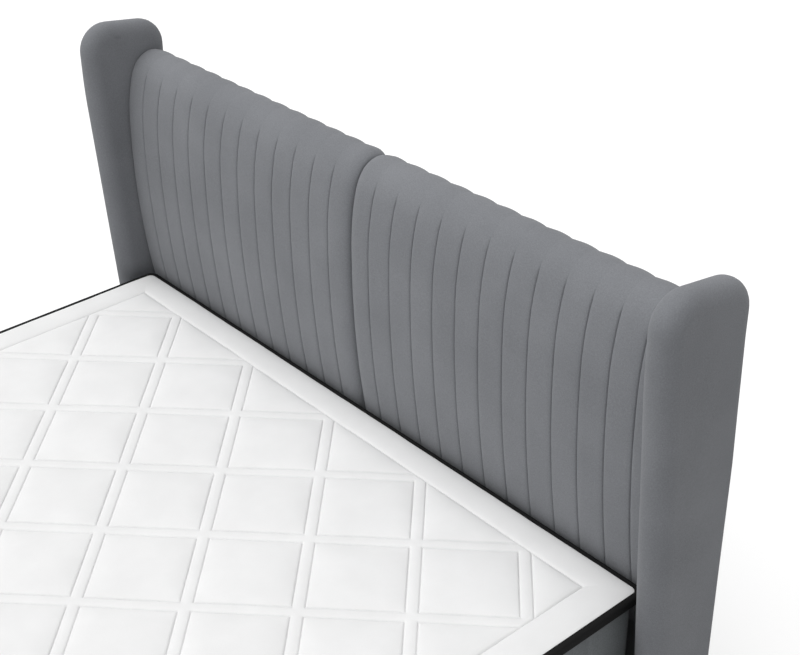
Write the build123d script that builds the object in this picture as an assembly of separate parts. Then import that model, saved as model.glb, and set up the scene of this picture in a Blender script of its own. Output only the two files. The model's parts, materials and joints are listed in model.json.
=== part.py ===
from build123d import *
import os
from math import ceil, sqrt

# An upholstered wingback bed for a queen-size mattress, with the mattress.
# All lengths are in millimetres. +X is the right-hand side seen from the foot,
# +Y points to the head end and +Z is up.
# The origin lies on the floor under the middle of the whole bed.

# Mattress and the space that it lies in
mattress_width = 1524.0
mattress_length = 2032.0
mattress_height = 254.0
mattress_corner_radius = 14.0
mattress_foot_radius = 12.0      # rounding round the underside
mattress_recess = 80.0           # how far the mattress sits below the top of the rails
mattress_side_gap = 3.0
mattress_foot_gap = 22.0

# Mattress top, its black band and its quilting
top_panel_thickness = 4.0
top_panel_bevel = 2.5
band_height = 28.0
band_width = 12.0                # how deep the band reaches in from the edge
band_overhang = 6.0
band_bevel = 5.0
quilt_cells_across = 5
quilt_border = 63.0              # mattress edge to the border seam, at the sides
quilt_head_border = 67.0         # the same at the head and foot ends
quilt_band = 23.5                # flat strip between two puffed squares
quilt_rise = 7.0
quilt_taper = 65.0               # degrees, how far the sides of a puffed square lean in

# Bed base
ground_clearance = 120.0         # floor to the underside of the rails
rail_height = 250.0
rail_board_thickness = 20.0
rail_padding = 5.0
rail_edge_rounding = 9.0
footboard_board_thickness = 30.0
footboard_padding = 10.0
footboard_edge_rounding = 9.0
wing_gap = 1.0                   # rail to the inner face of the wing

# Slats and what carries them
slat_count = 12
slat_width = 100.0
slat_thickness = 18.0
slat_end_gap = 1.5
slat_first_gap = 25.0            # footboard to the first slat, and apron to the last
slat_bevel = 3.0
ledge_width = 25.0
ledge_height = 30.0
ledge_end_gap = 6.0
tape_width = 30.0
tape_thickness = 1.0
tape_rail_gap = 75.0             # rail to the near edge of a slat tape

# Centre beam, its hangers, legs and levelling feet
beam_width = 50.0
beam_height = 60.0
hanger_length = 45.0
hanger_wall = 3.0
hanger_gap = 0.5
hanger_ear = 22.0
leg_count = 3
support_leg_width = 42.0
leg_plate_size = 64.0
leg_plate_thickness = 3.0
stud_radius = 6.0
stud_length = 46.0
stud_clearance = 0.05
stud_end_gap = 4.0
level_disc_radius = 20.0         # over the corners of the six-sided foot
level_disc_height = 8.0
level_seat_gap = 0.3             # levelling foot screwed fully home

# Legs and fittings at the foot corners
block_leg = 112.0
block_height = 40.0
foot_leg_top = 52.0
foot_leg_bottom = 38.0
foot_leg_inset = 30.0            # rail face to the middle of the leg
glide_thickness = 4.0
glide_width = 28.0
bracket_leg = 60.0
bracket_height = 72.0
bracket_thickness = 2.5
bracket_bend_radius = 3.0
bracket_drop = 132.0             # top of the bracket below the top of the rails
bolt_radius = 4.0
bolt_length = 18.0
bolt_head_radius = 8.0
bolt_head_height = 4.0
bolt_clearance = 0.3
bolt_margin = 18.0               # bracket edge to the middle of a bolt

# Headboard
head_depth = 117.0               # mattress end to the back of the wings
back_setback = 2.0               # the wings stand this far behind the back cover
back_cover_thickness = 3.0
frame_depth = 27.0
board_thickness = 15.0
board_gap = 2.0                  # between the two boards, and between the two pads
frame_top_rise = 470.0           # top of the mattress to the top of the frame
post_width = 40.0
top_rail_height = 40.0
mid_rail_height = 45.0
mid_rail_rise = 170.0            # top of the mattress to the middle of the middle rails
bottom_rail_height = 90.0
bottom_rail_lift = 60.0          # underside of the apron to that of the bottom rails
apron_padding_thickness = 8.0
apron_edge_rounding = 5.0

# Tufted pads of the headboard
channel_count = 13
pad_bottom_drop = 130.0          # top of the mattress to the underside of the pads
pad_height = 696.0               # at the seams
pad_thickness = 77.0             # board to the foremost part of a seam
channel_rise = 5.0               # middle of a channel above its seams
# Across a channel from seam to seam: share of its width, and share of its crown reached there
channel_rise_shares = [(0.24, 1.0), (0.76, 1.0)]
pad_end_drop = 15.0              # the pads' ends at the centre are drawn in by this
pad_side_drop = 3.0              # and beside the wings by this

# Wings
wing_thickness = 60.0
wing_depth = 214.0
wing_foot_depth = 136.0
wing_front_rise = 655.0          # top of the mattress to the top of the nose
wing_back_rise = 622.0
wing_knee_rise = 490.0           # where the nose starts to slant back
wing_knee_setback = 2.0
wing_front_radius = 72.0
wing_back_radius = 78.0
wing_knee_radius = 1400.0
wing_edge_rounding = 27.0
wing_nose_padding = 20.0
wing_board_back = 10.0           # padding behind the wing board
wing_board_thickness = 18.0
wing_batten_thickness = 20.0
wing_batten_width = 45.0
wing_nose_batten_width = 32.0
wing_base = 6.0                  # floor to the underside of the wings, the height of a glide
wing_glide_width = 28.0
wing_glide_inset = 34.0          # wing edge to the middle of a glide
wing_bolt_setback = 20.0
wing_bolt_radius = 4.0
wing_bolt_clearance = 0.3
wing_bolt_head_radius = 7.5      # over the corners
wing_bolt_head_height = 5.0
wing_bolt_spare = 3.0            # end of a bolt to the wing board
wing_bolt_low_rise = -240.0      # top of the mattress to the lower bolt of a wing
wing_bolt_high_rise = 370.0      # and to the upper one

# Places worked out from the sizes above
footboard_thickness = footboard_board_thickness + footboard_padding
overall_length = head_depth + mattress_length + mattress_foot_gap + footboard_thickness
back_y = overall_length / 2
mattress_head_y = back_y - head_depth
mattress_foot_y = mattress_head_y - mattress_length
foot_inner_y = mattress_foot_y - mattress_foot_gap
foot_outer_y = foot_inner_y - footboard_thickness
cover_front_y = back_y - back_setback - back_cover_thickness
frame_front_y = cover_front_y - frame_depth
board_front_y = frame_front_y - board_thickness
apron_front_y = board_front_y - apron_padding_thickness

rail_top = ground_clearance + rail_height
slat_top = rail_top - mattress_recess
slat_bottom = slat_top - slat_thickness
mattress_top = slat_top + mattress_height
pad_bottom = mattress_top - pad_bottom_drop
frame_top = mattress_top + frame_top_rise

rail_inner_x = mattress_width / 2 + mattress_side_gap
rail_outer_x = rail_inner_x + rail_board_thickness + 2 * rail_padding
wing_inner_x = rail_outer_x + wing_gap
wing_outer_x = wing_inner_x + wing_thickness
pad_length = wing_inner_x - board_gap / 2
channel_width = pad_length / channel_count
inner_length = apron_front_y - foot_inner_y

# Outline of a pad at a seam, seen from the side: how far in front of the board, as a share
# of the bulge, how high, as a share of the height, and which way the crown of a channel swells
# there. Each pair after the second is the middle and the end of an arc.
pad_front_shares = [
    (0.28, 0.0, 0.0, 0.0),
    (0.36, 0.03, 0.0, 0.0),
    (0.87, 0.385, 1.0, 0.05),
    (1.0, 0.74, 1.0, 0.0),
    (0.94, 0.838, 1.0, 0.1),
    (0.76, 0.935, 0.9, 0.3),
    (0.503, 0.9795, 0.6, 0.8),
    (0.065, 1.0, 0.0, 1.0),
    (-0.396, 0.979, -0.12, 0.4),
]
pad_back_share = 0.935           # height at which the top roll meets the back


def box_between(x0, x1, y0, y1, z0, z1):
    """A block given by the places of its six faces."""
    block = Box(x1 - x0, y1 - y0, z1 - z0)
    return Pos((x0 + x1) / 2, (y0 + y1) / 2, (z0 + z1) / 2) * block


def mirrored(shape):
    """The same piece on the left-hand side."""
    return mirror(shape, about=Plane.YZ)


def both_sides(name, shape):
    """Writes a right-hand piece and its mirror image."""
    write(shape, name + "_right")
    write(mirrored(shape), name + "_left")


def write(shape, name):
    export_step(shape, "parts/" + name + ".step")


def disc_along(axis, radius, length):
    """A round bar of a radius, from the origin along an axis."""
    plane = Plane(origin=(0, 0, 0), z_dir=axis)
    return extrude(plane * Circle(radius), length)


def hex_along(axis, radius, length):
    """A six-sided bolt head of a radius over its corners."""
    plane = Plane(origin=(0, 0, 0), z_dir=axis)
    return extrude(plane * RegularPolygon(radius, 6), length)


# Tufted pads

def pad_section(x, swell):
    """Side outline of a pad in the plane at x, with its front moved out by swell."""
    hook = board_front_y - back_y + back_setback

    def point(forward, up):
        return (x, board_front_y - forward, pad_bottom + up)

    front = []
    for forward_share, up_share, swell_forward_share, swell_up_share in pad_front_shares:
        forward = forward_share * pad_thickness + swell_forward_share * swell
        up = up_share * pad_height + swell_up_share * swell
        front.append(point(forward, up))
    back_top = point(hook, pad_back_share * pad_height)
    back_low = point(hook, frame_top - pad_bottom)
    board_top = point(0, frame_top - pad_bottom)
    board_low = point(0, 0)
    edges = [
        Line(board_low, front[0]),
        Line(front[0], front[1]),
        ThreePointArc(front[1], front[2], front[3]),
        ThreePointArc(front[3], front[4], front[5]),
        ThreePointArc(front[5], front[6], front[7]),
        ThreePointArc(front[7], front[8], back_top),
        Line(back_top, back_low),
        Line(back_low, board_top),
        Line(board_top, board_low),
    ]
    return Wire(edges)


def tufted_pad():
    """Right-hand pad: upright channels, each crowned between two sewn seams."""
    sections = [pad_section(board_gap / 2, -pad_end_drop)]
    for index in range(channel_count):
        seam_x = board_gap / 2 + index * channel_width
        for width_share, crown_share in channel_rise_shares:
            x = seam_x + width_share * channel_width
            sections.append(pad_section(x, crown_share * channel_rise))
        last = index == channel_count - 1
        sections.append(pad_section(seam_x + channel_width, -pad_side_drop if last else 0.0))
    return Solid.make_loft(sections, ruled=True)


# Headboard frame

def headboard_pieces():
    board = box_between(
        board_gap / 2, wing_inner_x, board_front_y, frame_front_y, pad_bottom, frame_top
    )
    both_sides("headboard_board", board)

    post_top = frame_top - top_rail_height
    side_post = box_between(
        wing_inner_x - post_width, wing_inner_x, frame_front_y, cover_front_y,
        ground_clearance, post_top,
    )
    for hole in wing_bolt_holes():
        side_post -= hole
    both_sides("headboard_post", side_post)

    centre_post = box_between(
        -post_width / 2, post_width / 2, frame_front_y, cover_front_y, ground_clearance, post_top
    )
    write(centre_post, "headboard_post_centre")

    top_rail = box_between(
        -wing_inner_x, wing_inner_x, frame_front_y, cover_front_y, post_top, frame_top
    )
    write(top_rail, "headboard_top_rail")

    mid_z = mattress_top + mid_rail_rise
    mid_rail = box_between(
        post_width / 2, wing_inner_x - post_width, frame_front_y, cover_front_y,
        mid_z - mid_rail_height / 2, mid_z + mid_rail_height / 2,
    )
    write(Compound([mid_rail, mirrored(mid_rail)]), "headboard_mid_rails")

    low_z = ground_clearance + bottom_rail_lift
    bottom_rail = box_between(
        post_width / 2, wing_inner_x - post_width, frame_front_y, cover_front_y,
        low_z, low_z + bottom_rail_height,
    )
    write(Compound([bottom_rail, mirrored(bottom_rail)]), "headboard_bottom_rails")

    apron_board = box_between(
        -wing_inner_x, wing_inner_x, board_front_y, frame_front_y, ground_clearance, pad_bottom
    )
    apron_padding = box_between(
        -wing_inner_x, wing_inner_x, apron_front_y, board_front_y, ground_clearance, pad_bottom
    )
    front_edges = apron_padding.faces().sort_by(Axis.Y)[0].edges().filter_by(Axis.X)
    apron_padding = fillet(front_edges, apron_edge_rounding)
    for hole in head_bolt_holes():
        apron_board -= hole
        apron_padding -= hole
    write(apron_board, "apron_board")
    write(apron_padding, "apron_padding")

    back_cover = box_between(
        -wing_inner_x, wing_inner_x, cover_front_y, cover_front_y + back_cover_thickness,
        ground_clearance, frame_top,
    )
    write(back_cover, "headboard_back_cover")

    both_sides("tufted_pad", tufted_pad())


# Wings

def wing_outline(front_inset, back_inset):
    """Side outline of a wing, drawn in from its front and top and from its back."""
    front_y = back_y - wing_depth + front_inset
    knee_y = front_y + wing_knee_setback
    foot_y = back_y - wing_foot_depth + front_inset
    rear_y = back_y - back_inset
    nose_top = (front_y, mattress_top + wing_front_rise - front_inset)
    rear_top = (rear_y, mattress_top + wing_back_rise - front_inset)
    knee = (knee_y, mattress_top + wing_knee_rise)
    outline = Polyline(
        (foot_y, wing_base), knee, nose_top, rear_top, (rear_y, wing_base), close=True
    )
    face = make_face(outline)

    def nearest(place):
        return face.vertices().sort_by_distance(Vector(place[0], place[1], 0))[0]

    face = fillet(nearest(nose_top), wing_front_radius - front_inset)
    face = fillet(nearest(rear_top), wing_back_radius - front_inset)
    face = fillet(nearest(knee), wing_knee_radius)
    return face


def wing_slab(face, x0, x1):
    """A slab of a side outline between two places along X."""
    plane = Plane(origin=(x0, 0, 0), x_dir=(0, 1, 0), z_dir=(1, 0, 0))
    return extrude(plane * face, x1 - x0)


def wing_bolt_places():
    rises = (wing_bolt_low_rise, wing_bolt_high_rise)
    return [(back_y - wing_bolt_setback, mattress_top + rise) for rise in rises]


def wing_bolt_holes():
    """Clearance holes of the right-hand wing bolts, through the post into the rear batten."""
    radius = wing_bolt_radius + wing_bolt_clearance
    start = wing_inner_x - post_width
    end = wing_board_outer_x() - wing_board_thickness
    return [
        Pos(start, y, z) * disc_along((1, 0, 0), radius, end - start)
        for y, z in wing_bolt_places()
    ]


def wing_board_outer_x():
    core = wing_board_thickness + wing_batten_thickness
    return wing_inner_x + (wing_thickness + core) / 2


def wing_pieces():
    board_outer_x = wing_board_outer_x()
    board_inner_x = board_outer_x - wing_board_thickness
    batten_inner_x = board_inner_x - wing_batten_thickness
    core = wing_outline(wing_nose_padding, wing_board_back)
    board = wing_slab(core, board_inner_x, board_outer_x)

    nose_cut = Pos(wing_nose_batten_width, -wing_nose_batten_width) * core
    nose_batten = wing_slab(core - nose_cut, batten_inner_x, board_inner_x)
    rear_y = back_y - wing_board_back
    keep_nose = box_between(
        batten_inner_x, board_inner_x, back_y - wing_depth, rear_y - wing_batten_width,
        wing_base, mattress_top + wing_front_rise,
    )
    nose_batten = nose_batten & keep_nose
    rear_batten = box_between(
        batten_inner_x, board_inner_x, rear_y - wing_batten_width, rear_y, wing_base,
        mattress_top + wing_back_rise - wing_back_radius - wing_nose_padding,
    )

    body = wing_slab(wing_outline(0, 0), wing_inner_x, wing_outer_x)
    side_faces = body.faces().filter_by(Axis.X)
    rim = [
        edge for edge in side_faces.edges()
        if edge.center().Z > wing_base + wing_edge_rounding
    ]
    body = fillet(rim, wing_edge_rounding)
    padding = body - board - nose_batten - rear_batten
    for hole in wing_bolt_holes():
        rear_batten -= hole
        padding -= hole

    both_sides("wing_board", board)
    both_sides("wing_battens", Compound([nose_batten, rear_batten]))
    both_sides("wing_padding", padding)

    middle_x = (wing_inner_x + wing_outer_x) / 2
    glides = []
    for y in (back_y - wing_foot_depth + wing_glide_inset, back_y - wing_glide_inset):
        glide = Pos(middle_x, y, wing_base / 2) * Box(wing_glide_width, wing_glide_width, wing_base)
        glides += [glide, mirrored(glide)]
    write(Compound(glides), "wing_glides")

    start = wing_inner_x - post_width
    shank_length = board_inner_x - wing_bolt_spare - start
    bolts = []
    for y, z in wing_bolt_places():
        head = hex_along((-1, 0, 0), wing_bolt_head_radius, wing_bolt_head_height)
        bolt = Pos(start, y, z) * (head + disc_along((1, 0, 0), wing_bolt_radius, shank_length))
        bolts += [bolt, mirrored(bolt)]
    write(Compound(bolts), "wing_bolts")


# Bed base

def bracket_levels():
    top = rail_top - bracket_drop
    return top - bracket_height, top


def bracket_bolt_places():
    """For each bolt of the right-hand brackets: where it enters and which way it points."""
    low, high = bracket_levels()
    x = rail_inner_x - bracket_leg + bolt_margin
    places = []
    for z in (low + bolt_margin, high - bolt_margin):
        places.append(((x, foot_inner_y + bracket_thickness, z), (0, -1, 0)))
        places.append(((x, apron_front_y - bracket_thickness, z), (0, 1, 0)))
    return places


def bolt_holes():
    """Clearance holes of the bracket bolts, both sides of the bed."""
    holes = []
    for place, way in bracket_bolt_places():
        bore = disc_along(way, bolt_radius + bolt_clearance, bolt_length + bolt_clearance)
        hole = Pos(*place) * bore
        holes += [hole, mirrored(hole)]
    return holes


def head_bolt_holes():
    return [hole for hole in bolt_holes() if hole.center().Y > apron_front_y - bracket_thickness]


def corner_bracket(y, way):
    """Right-hand angle plate at a corner; way is +1 where the bed's end lies towards +Y."""
    low, high = bracket_levels()
    along_rail = box_between(
        rail_inner_x - bracket_thickness, rail_inner_x,
        min(y, y - way * bracket_leg), max(y, y - way * bracket_leg), low, high,
    )
    across = box_between(
        rail_inner_x - bracket_leg, rail_inner_x,
        min(y, y - way * bracket_thickness), max(y, y - way * bracket_thickness), low, high,
    )
    plate = along_rail + across
    inside = (rail_inner_x - bracket_thickness, y - way * bracket_thickness, (low + high) / 2)
    bend = plate.edges().filter_by(Axis.Z).sort_by_distance(Vector(*inside))[0]
    return fillet(bend, bracket_bend_radius)


def base_pieces():
    holes = bolt_holes()

    rail_cover = box_between(
        rail_inner_x, rail_outer_x, foot_inner_y, apron_front_y, ground_clearance, rail_top
    )
    rail_cover = fillet(
        rail_cover.faces().sort_by(Axis.Z)[-1].edges().filter_by(Axis.Y), rail_edge_rounding
    )
    rail_board = box_between(
        rail_inner_x + rail_padding, rail_outer_x - rail_padding, foot_inner_y, apron_front_y,
        ground_clearance, rail_top - rail_padding,
    )
    rail_cover -= rail_board
    foot_cover = box_between(
        -rail_outer_x, rail_outer_x, foot_outer_y, foot_inner_y, ground_clearance, rail_top
    )
    foot_cover = fillet(
        [e for e in foot_cover.edges()
         if e.center().Y < foot_outer_y + footboard_padding and e.center().Z > ground_clearance]
        + foot_cover.faces().sort_by(Axis.Z)[-1].edges().filter_by(Axis.X).sort_by(Axis.Y)[-1:],
        footboard_edge_rounding,
    )
    foot_board = box_between(
        -rail_outer_x + footboard_padding, rail_outer_x - footboard_padding,
        foot_outer_y + footboard_padding, foot_inner_y,
        ground_clearance, rail_top - footboard_padding,
    )
    foot_cover -= foot_board
    for hole in holes:
        foot_board -= hole
    both_sides("side_rail_cover", rail_cover)
    both_sides("side_rail_board", rail_board)
    write(foot_cover, "footboard_cover")
    write(foot_board, "footboard_board")

    brackets = []
    for y, way in ((foot_inner_y, -1), (apron_front_y, 1)):
        bracket = corner_bracket(y, way)
        brackets += [bracket, mirrored(bracket)]
    drilled = []
    for bracket in brackets:
        for hole in holes:
            bracket -= hole
        drilled.append(bracket)
    write(Compound(drilled), "corner_brackets")

    bolts = []
    for place, way in bracket_bolt_places():
        back = (-way[0], -way[1], -way[2])
        bolt = hex_along(back, bolt_head_radius, bolt_head_height)
        bolt = Pos(*place) * (bolt + disc_along(way, bolt_radius, bolt_length))
        bolts += [bolt, mirrored(bolt)]
    write(Compound(bolts), "bracket_bolts")

    ledge = box_between(
        rail_inner_x - ledge_width, rail_inner_x,
        foot_inner_y + ledge_end_gap, apron_front_y - ledge_end_gap,
        slat_bottom - ledge_height, slat_bottom,
    )
    write(Compound([ledge, mirrored(ledge)]), "slat_ledges")


def corner_pieces():
    corner = (rail_inner_x, foot_inner_y)
    triangle = make_face(Polyline(
        corner, (rail_inner_x - block_leg, foot_inner_y), (rail_inner_x, foot_inner_y + block_leg),
        close=True,
    ))
    block = Pos(0, 0, ground_clearance) * extrude(triangle, block_height)
    write(Compound([block, mirrored(block)]), "corner_blocks")

    x = rail_inner_x - foot_leg_inset
    y = foot_inner_y + foot_leg_inset
    side = make_face(Polyline(
        (-foot_leg_top / 2, ground_clearance), (foot_leg_top / 2, ground_clearance),
        (foot_leg_bottom / 2, glide_thickness), (-foot_leg_bottom / 2, glide_thickness),
        close=True,
    ))
    leg = extrude(Plane.XZ * side, foot_leg_top / 2, both=True)
    leg = leg & extrude(Plane.YZ * side, foot_leg_top / 2, both=True)
    both_sides("foot_leg", Pos(x, y, 0) * leg)
    glide = Pos(x, y, glide_thickness / 2) * Box(glide_width, glide_width, glide_thickness)
    write(Compound([glide, mirrored(glide)]), "leg_glides")


# Slats, centre beam and its legs

def slat_places():
    """Middle of each slat along Y."""
    first = foot_inner_y + slat_first_gap + slat_width / 2
    last = apron_front_y - slat_first_gap - slat_width / 2
    pitch = (last - first) / (slat_count - 1)
    return [first + index * pitch for index in range(slat_count)]


def slat_pieces():
    reach = rail_inner_x - slat_end_gap
    for number, y in enumerate(slat_places(), start=1):
        slat = box_between(
            -reach, reach, y - slat_width / 2, y + slat_width / 2, slat_bottom, slat_top
        )
        slat = chamfer(
            slat.faces().sort_by(Axis.Z)[-1].edges().filter_by(Axis.X), slat_bevel
        )
        write(slat, f"slat_{number:02d}")
    places = slat_places()
    tape = box_between(
        rail_inner_x - tape_rail_gap - tape_width, rail_inner_x - tape_rail_gap,
        places[0] - slat_width / 2, places[-1] + slat_width / 2,
        slat_bottom - tape_thickness, slat_bottom,
    )
    write(Compound([tape, mirrored(tape)]), "slat_tapes")


def beam_hanger(y, way):
    """U-shaped seat for an end of the beam, with two ears screwed to the bed's end."""
    beam_bottom = slat_bottom - beam_height
    half = beam_width / 2 + hanger_gap
    end = y - way * hanger_length
    outer = box_between(
        -half - hanger_wall, half + hanger_wall, min(y, end), max(y, end),
        beam_bottom - hanger_wall, slat_bottom - hanger_wall,
    )
    pocket = box_between(-half, half, min(y, end), max(y, end), beam_bottom, slat_bottom)
    plate_y = y - way * hanger_wall
    ears = box_between(
        -half - hanger_ear, half + hanger_ear, min(y, plate_y), max(y, plate_y),
        beam_bottom - hanger_wall, slat_bottom - hanger_wall,
    )
    return (outer + ears) - pocket


def beam_pieces():
    beam_bottom = slat_bottom - beam_height
    beam = box_between(
        -beam_width / 2, beam_width / 2, foot_inner_y, apron_front_y, beam_bottom, slat_bottom
    )
    write(beam, "centre_beam")
    hangers = [beam_hanger(foot_inner_y, -1), beam_hanger(apron_front_y, 1)]
    write(Compound(hangers), "beam_hangers")

    leg_bottom = level_disc_height + level_seat_gap
    plate_bottom = beam_bottom - leg_plate_thickness
    bore_depth = stud_length + stud_end_gap
    for number in range(1, leg_count + 1):
        y = foot_inner_y + inner_length * number / (leg_count + 1)
        leg = box_between(
            -support_leg_width / 2, support_leg_width / 2,
            -support_leg_width / 2, support_leg_width / 2, leg_bottom, plate_bottom,
        )
        plate = box_between(
            -leg_plate_size / 2, leg_plate_size / 2, -leg_plate_size / 2, leg_plate_size / 2,
            plate_bottom, beam_bottom,
        )
        bore = Pos(0, 0, leg_bottom) * disc_along(
            (0, 0, 1), stud_radius + stud_clearance, bore_depth
        )
        leg = leg + plate - bore
        write(Pos(0, y, 0) * leg, f"support_leg_{number}")
        disc = hex_along((0, 0, 1), level_disc_radius, level_disc_height)
        stud = Pos(0, 0, level_disc_height) * disc_along((0, 0, 1), stud_radius, stud_length)
        write(Pos(0, y, 0) * (disc + stud), f"levelling_foot_{number}")


# Mattress

def mattress_block(grow, z0, z1):
    """A block over the mattress's plan, with rounded corners, grown by a margin all round."""
    plan = RectangleRounded(
        mattress_width + 2 * grow, mattress_length + 2 * grow, mattress_corner_radius + grow
    )
    middle_y = (mattress_head_y + mattress_foot_y) / 2
    return Pos(0, middle_y, z0) * extrude(plan, z1 - z0)


def quilt_cells():
    """The puffed squares, clipped by the border seam."""
    half = (mattress_width - 2 * quilt_border) / quilt_cells_across / 2
    reach = half - quilt_band / sqrt(2)
    head_line = mattress_head_y - quilt_head_border
    foot_line = mattress_foot_y + quilt_head_border
    field_width = mattress_width - 2 * quilt_border - quilt_band
    field_length = head_line - foot_line - quilt_band
    field = Pos(0, (head_line + foot_line) / 2) * Rectangle(field_width, field_length)
    rows = ceil((head_line - foot_line + half) / half)
    cells = []
    for row in range(rows):
        y = head_line - row * half
        for column in range(-quilt_cells_across, quilt_cells_across + 1):
            if (row + column) % 2 == 0:
                continue
            x = column * half
            diamond = make_face(Polyline(
                (x - reach, y), (x, y - reach), (x + reach, y), (x, y + reach), close=True
            ))
            clipped = diamond & field
            cells += [face for face in clipped.faces() if face.area > quilt_band ** 2]
    return cells


def mattress_pieces():
    panel_bottom = mattress_top - top_panel_thickness
    band_bottom = panel_bottom - band_height
    ring_inside = mattress_block(-band_width, band_bottom, panel_bottom)
    core = mattress_block(0, slat_top, band_bottom)
    core = fillet(core.faces().sort_by(Axis.Z)[0].edges(), mattress_foot_radius)
    write(core + ring_inside, "mattress_core")

    band = mattress_block(band_overhang, band_bottom, panel_bottom)
    flat_faces = band.faces().filter_by(Axis.Z)
    band = chamfer(flat_faces.edges(), band_bevel) - ring_inside
    write(band, "mattress_band")

    panel = mattress_block(0, panel_bottom, mattress_top)
    panel = chamfer(panel.faces().sort_by(Axis.Z)[-1].edges(), top_panel_bevel)
    puffs = []
    for cell in quilt_cells():
        puffs.append(extrude(Pos(0, 0, mattress_top) * cell, quilt_rise, taper=quilt_taper))
    write(panel.fuse(*puffs), "mattress_top_panel")


os.makedirs("parts", exist_ok=True)
headboard_pieces()
wing_pieces()
base_pieces()
corner_pieces()
slat_pieces()
beam_pieces()
mattress_pieces()
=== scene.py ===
import json
import math
import bmesh
import bpy
import numpy as np
from mathutils import Matrix, Vector, noise


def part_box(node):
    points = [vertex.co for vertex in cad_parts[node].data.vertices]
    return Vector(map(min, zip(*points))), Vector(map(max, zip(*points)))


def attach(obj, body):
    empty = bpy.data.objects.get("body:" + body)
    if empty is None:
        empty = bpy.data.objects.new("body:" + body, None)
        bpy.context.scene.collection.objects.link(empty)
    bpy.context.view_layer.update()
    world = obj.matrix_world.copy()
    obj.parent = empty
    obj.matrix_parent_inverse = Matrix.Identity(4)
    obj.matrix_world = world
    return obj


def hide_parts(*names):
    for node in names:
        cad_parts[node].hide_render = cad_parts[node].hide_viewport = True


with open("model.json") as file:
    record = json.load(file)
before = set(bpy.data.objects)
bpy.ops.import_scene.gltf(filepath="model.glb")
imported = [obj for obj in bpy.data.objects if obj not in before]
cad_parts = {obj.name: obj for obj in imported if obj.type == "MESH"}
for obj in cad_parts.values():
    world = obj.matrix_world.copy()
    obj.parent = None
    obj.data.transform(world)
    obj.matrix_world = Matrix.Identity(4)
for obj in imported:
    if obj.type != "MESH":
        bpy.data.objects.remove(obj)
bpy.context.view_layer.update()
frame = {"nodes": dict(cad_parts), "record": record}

# A wingback bed in grey upholstery with its quilted mattress. Metres, +Y to the head end, +Z up.
mm = 0.001
tiny = 1e-5     # metres, for places that should be the same
sideNames = {1: "right", -1: "left"}    # by the sign of X
bpy.context.scene.view_settings.view_transform = "Standard"


# Meshes

def hexColour(text):  # sRGB hex to linear light
    parts = [int(text[i:i + 2], 16) / 255 for i in (1, 3, 5)]
    linear = [c / 12.92 if c <= 0.04045 else ((c + 0.055) / 1.055) ** 2.4 for c in parts]
    return (*linear, 1.0)


def addObject(name, data):
    thing = bpy.data.objects.new(name, data)
    bpy.context.scene.collection.objects.link(thing)
    return thing


def newPiece(name, places, faces, sharpAngle=50):  # a smooth-shaded mesh object
    mesh = bpy.data.meshes.new(name)
    mesh.from_pydata([tuple(place) for place in places], [], faces)
    mesh.validate()
    mesh.update()
    mesh.shade_smooth()
    mesh.set_sharp_from_angle(angle=math.radians(sharpAngle))
    return addObject(name, mesh)


def weaveMap(piece):  # lays the cloth flat on each face by its main direction, in metres
    mesh = piece.data
    layer = mesh.uv_layers.new(name="cloth")
    corners = np.empty(len(mesh.loops), int)
    mesh.loops.foreach_get("vertex_index", corners)
    places = np.empty(len(mesh.vertices) * 3)
    mesh.vertices.foreach_get("co", places)
    places = places.reshape(-1, 3)[corners]
    normals = np.empty(len(mesh.polygons) * 3)
    mesh.polygons.foreach_get("normal", normals)
    sizes = np.empty(len(mesh.polygons), int)
    mesh.polygons.foreach_get("loop_total", sizes)
    main = np.repeat(np.abs(normals.reshape(-1, 3)).argmax(1), sizes)
    across = np.where(main == 0, places[:, 1], places[:, 0])
    along = np.where(main == 2, places[:, 1], places[:, 2])
    layer.uv.foreach_set("vector", np.stack([across, along], 1).ravel())


def gridFaces(rows, columns, ringed=False, start=0):  # quads of a grid of points, row by row
    faces = []
    for row in range(rows - 1):
        for column in range(columns if ringed else columns - 1):
            a = start + row * columns + column
            b = start + row * columns + (column + 1) % columns
            faces.append((a, b, b + columns, a + columns))
    return faces


def tubeFaces(rows, columns, start=0):  # rings of points joined to a tube with closed ends
    last = start + (rows - 1) * columns
    faces = gridFaces(rows, columns, ringed=True, start=start)
    faces.append(tuple(range(start + columns - 1, start - 1, -1)))
    faces.append(tuple(range(last, last + columns)))
    return faces


def travelledAlong(line):  # how far along a line each of its points lies
    return np.concatenate([[0], np.cumsum(np.linalg.norm(np.diff(line, axis=0), axis=1))])


def seamShare(distance, width):  # 1 at a seam, fading to 0 beside it
    return math.exp(-(distance / width) ** 2)


def finishPiece(piece, material, body, replaced=()):
    piece.data.materials.append(material)
    weaveMap(piece)
    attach(piece, body)
    if replaced:
        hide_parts(*replaced)
    return piece


# Materials

def addNode(tree, kind, links=None, stops=(), **settings):
    # links: an input takes a value or another node's socket; stops: (place, hex colour) of a ramp
    node = tree.nodes.new(kind)
    for name, value in settings.items():
        setattr(node, name, value)
    for i, (place, colour) in enumerate(stops):
        elements = node.color_ramp.elements
        element = elements[i] if i < len(elements) else elements.new(place)
        element.position, element.color = place, hexColour(colour)
    for key, value in (links or {}).items():
        if isinstance(value, bpy.types.NodeSocket):
            tree.links.new(value, node.inputs[key])
        else:
            node.inputs[key].default_value = value
    return node


def newMaterial(name, **shaderValues):
    material = bpy.data.materials.new(name)
    material.use_nodes = True
    tree = material.node_tree
    shader = tree.nodes["Principled BSDF"]
    for key, value in shaderValues.items():
        shader.inputs[key.replace("_", " ")].default_value = value
    return material, tree, shader


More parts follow.
